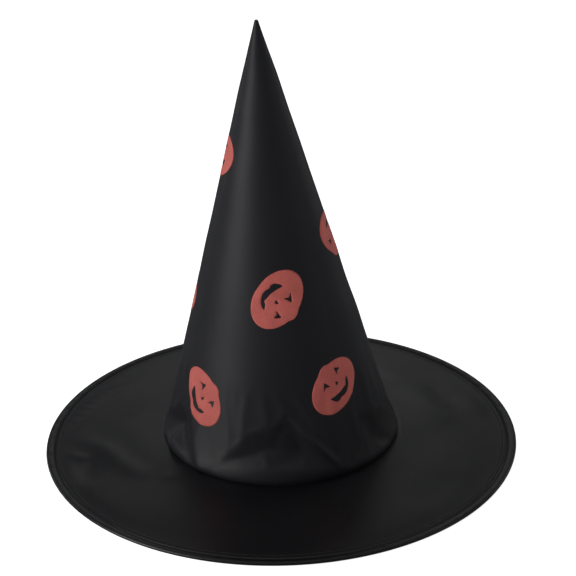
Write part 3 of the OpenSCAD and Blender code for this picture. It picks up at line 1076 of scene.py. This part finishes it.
ALLOW = math.degrees(math.asin(8 / CROWN_R))  # the back seam's allowances, to each side
SLOT = math.degrees(math.asin(9 / CROWN_R))  # where the stiffener stops short of them
STIFF_STOP = 60.0  # from the tip down to the stiffener's top
STIFF_FOOT = HEM_H + 1.2
STIFF_TOP = (APEX - STIFF_STOP) / COS
BAND_OFF = 1.24  # from the crown's surface in to the sweatband
LABEL_HALF = math.degrees(LABEL_W / 2 / (CROWN_R - 8))
back_seam = fitted(
    strip_layer(
        "back_seam_allowance", -LAYER, CLOTH, HEM_H + 0.6, (APEX - 50) / COS, 180 - ALLOW, 180 + ALLOW,
    ),
    CROWN_LIT_MAT, "crown_cloth", "back_seam",
)
stiffener = fitted(
    strip_layer(
        "crown_stiffener_sheet", -LAYER, 0.78, STIFF_FOOT, STIFF_TOP, -180 + SLOT, 180 - SLOT, step=2.2,
    ),
    LINING_MAT, "crown_stiffener", "crown_stiffener",
)
band = fitted(
    strip_layer("sweatband_ribbon", -BAND_OFF, 0.76, 0.3, BAND_W, -179.9, 179.9, step=1.9),
    BAND_MAT, "sweatband", "sweatband",
)
label = fitted(
    strip_layer(
        "care_label_ribbon", -BAND_OFF - BAND_T, LABEL_T, BAND_W - 2.6 - LABEL_H, BAND_W - 2.5,
        180 - LABEL_HALF, 180 + LABEL_HALF, step=1.2,
    ),
    LABEL_MAT, "label", "care_label",
)
rim_thread = fitted(make_stitches(), THREAD_MAT, "thread", "rim_topstitch")
band_thread = fitted(make_band_stitches(), THREAD_MAT, "thread", "sweatband_stitch")

for name, mat, slot in (("rim_wire", STEEL_MAT, "wire"), ("wire_sleeve", BRASS_MAT, "sleeve")):
    wire = frame["nodes"][name]
    wire.data.materials.clear()
    wire.data.materials.append(mat)


# ---------------------------------------------------------------- floor, light and camera

def area_light(name, place, target, size, watts):
    data = bpy.data.lights.new(name, "AREA")
    data.shape = "RECTANGLE"
    data.size, data.size_y = size
    data.energy = watts
    obj = bpy.data.objects.new(name, data)
    bpy.context.scene.collection.objects.link(obj)
    obj.location = place
    obj.rotation_euler = (Vector(target) - Vector(place)).to_track_quat("-Z", "Y").to_euler()


def around(azimuth, elevation, distance):
    """A place, in metres, that lies at that azimuth and elevation from the hat's middle."""
    a, e = math.radians(azimuth), math.radians(elevation)
    x = distance * math.sin(a) * math.cos(e)
    y = -distance * math.cos(a) * math.cos(e)
    return (x, y, MIDDLE[2] + distance * math.sin(e))


MIDDLE = (0, 0, 0.15)
area_light("key_left", around(-62, 14, 1.5), MIDDLE, (0.8, 1.3), 17)
area_light("top_soft", (0, 0, 2.2), (0, 0, 0), (2.4, 2.4), 8)
area_light("fill_right", around(75, 20, 1.8), MIDDLE, (0.5, 1.0), 2)
area_light("back_strip", around(180, 25.5, 2.2), MIDDLE, (1.1, 0.42), 1.2)
area_light("edge_left", around(-125, 12, 2.2), MIDDLE, (0.3, 1.3), 2.5)
area_light("edge_right", around(125, 12, 2.2), MIDDLE, (0.3, 1.3), 2.5)

world = bpy.data.worlds.new("studio")
world.use_nodes = True
background = world.node_tree.nodes["Background"]
background.inputs["Color"].default_value = (0.95, 0.97, 1.0, 1)
background.inputs["Strength"].default_value = 0.14
bpy.context.scene.world = world

RINGS = [0.5, 1.2, 3.0, 9.0]
SIDES = 48
floor_points, floor_faces = [(0.0, 0.0, 0.0)], []
for ring in RINGS:
    turn = [TAU * k / SIDES for k in range(SIDES)]
    floor_points += [(ring * math.cos(a), ring * math.sin(a), 0.0) for a in turn]
for k in range(SIDES):
    beside = (k + 1) % SIDES
    floor_faces.append([0, 1 + k, 1 + beside])
    for ring in range(len(RINGS) - 1):
        a = 1 + SIDES * ring
        floor_faces.append([a + k, a + SIDES + k, a + SIDES + beside, a + beside])
floor_mesh = bpy.data.meshes.new("floor")
floor_mesh.from_pydata(floor_points, [], floor_faces)
floor = link(floor_mesh, "floor")
floor.location.z = -0.0004  # just clear of the brim's edge
floor_mesh.materials.append(material(
    "floor_paper", specular_ior_level=0.0, base_color=(0.9, 0.9, 0.9, 1), roughness=0.9,
    emission_color=(1, 1, 1, 1), emission_strength=0.88,
)[0])
floor.visible_glossy = False  # its reflection would turn the dull black cloth grey

CAMERA_DISTANCE = 1.200
CAMERA_TILT = math.radians(23.849)
CAMERA_ROLL = math.radians(-1.3045)
LOOK_AT = Vector((0.008273, 0, 0.13026))
camera_data = bpy.data.cameras.new("camera")
camera_data.sensor_width = 36
camera_data.lens = 95.84
camera_data.clip_start, camera_data.clip_end = 0.05, 30
camera = bpy.data.objects.new("camera", camera_data)
bpy.context.scene.collection.objects.link(camera)
forward = Vector((0, math.cos(CAMERA_TILT), -math.sin(CAMERA_TILT)))
level_up = Vector((0, math.sin(CAMERA_TILT), math.cos(CAMERA_TILT)))
level_right = Vector((1, 0, 0))
right = math.cos(CAMERA_ROLL) * level_right + math.sin(CAMERA_ROLL) * level_up
upward = -math.sin(CAMERA_ROLL) * level_right + math.cos(CAMERA_ROLL) * level_up
place = LOOK_AT - forward * CAMERA_DISTANCE
camera.matrix_world = Matrix((
    (right.x, upward.x, -forward.x, place.x),
    (right.y, upward.y, -forward.y, place.y),
    (right.z, upward.z, -forward.z, place.z),
    (0, 0, 0, 1),
))
bpy.context.scene.camera = camera
bpy.context.scene.view_settings.view_transform = "Standard"
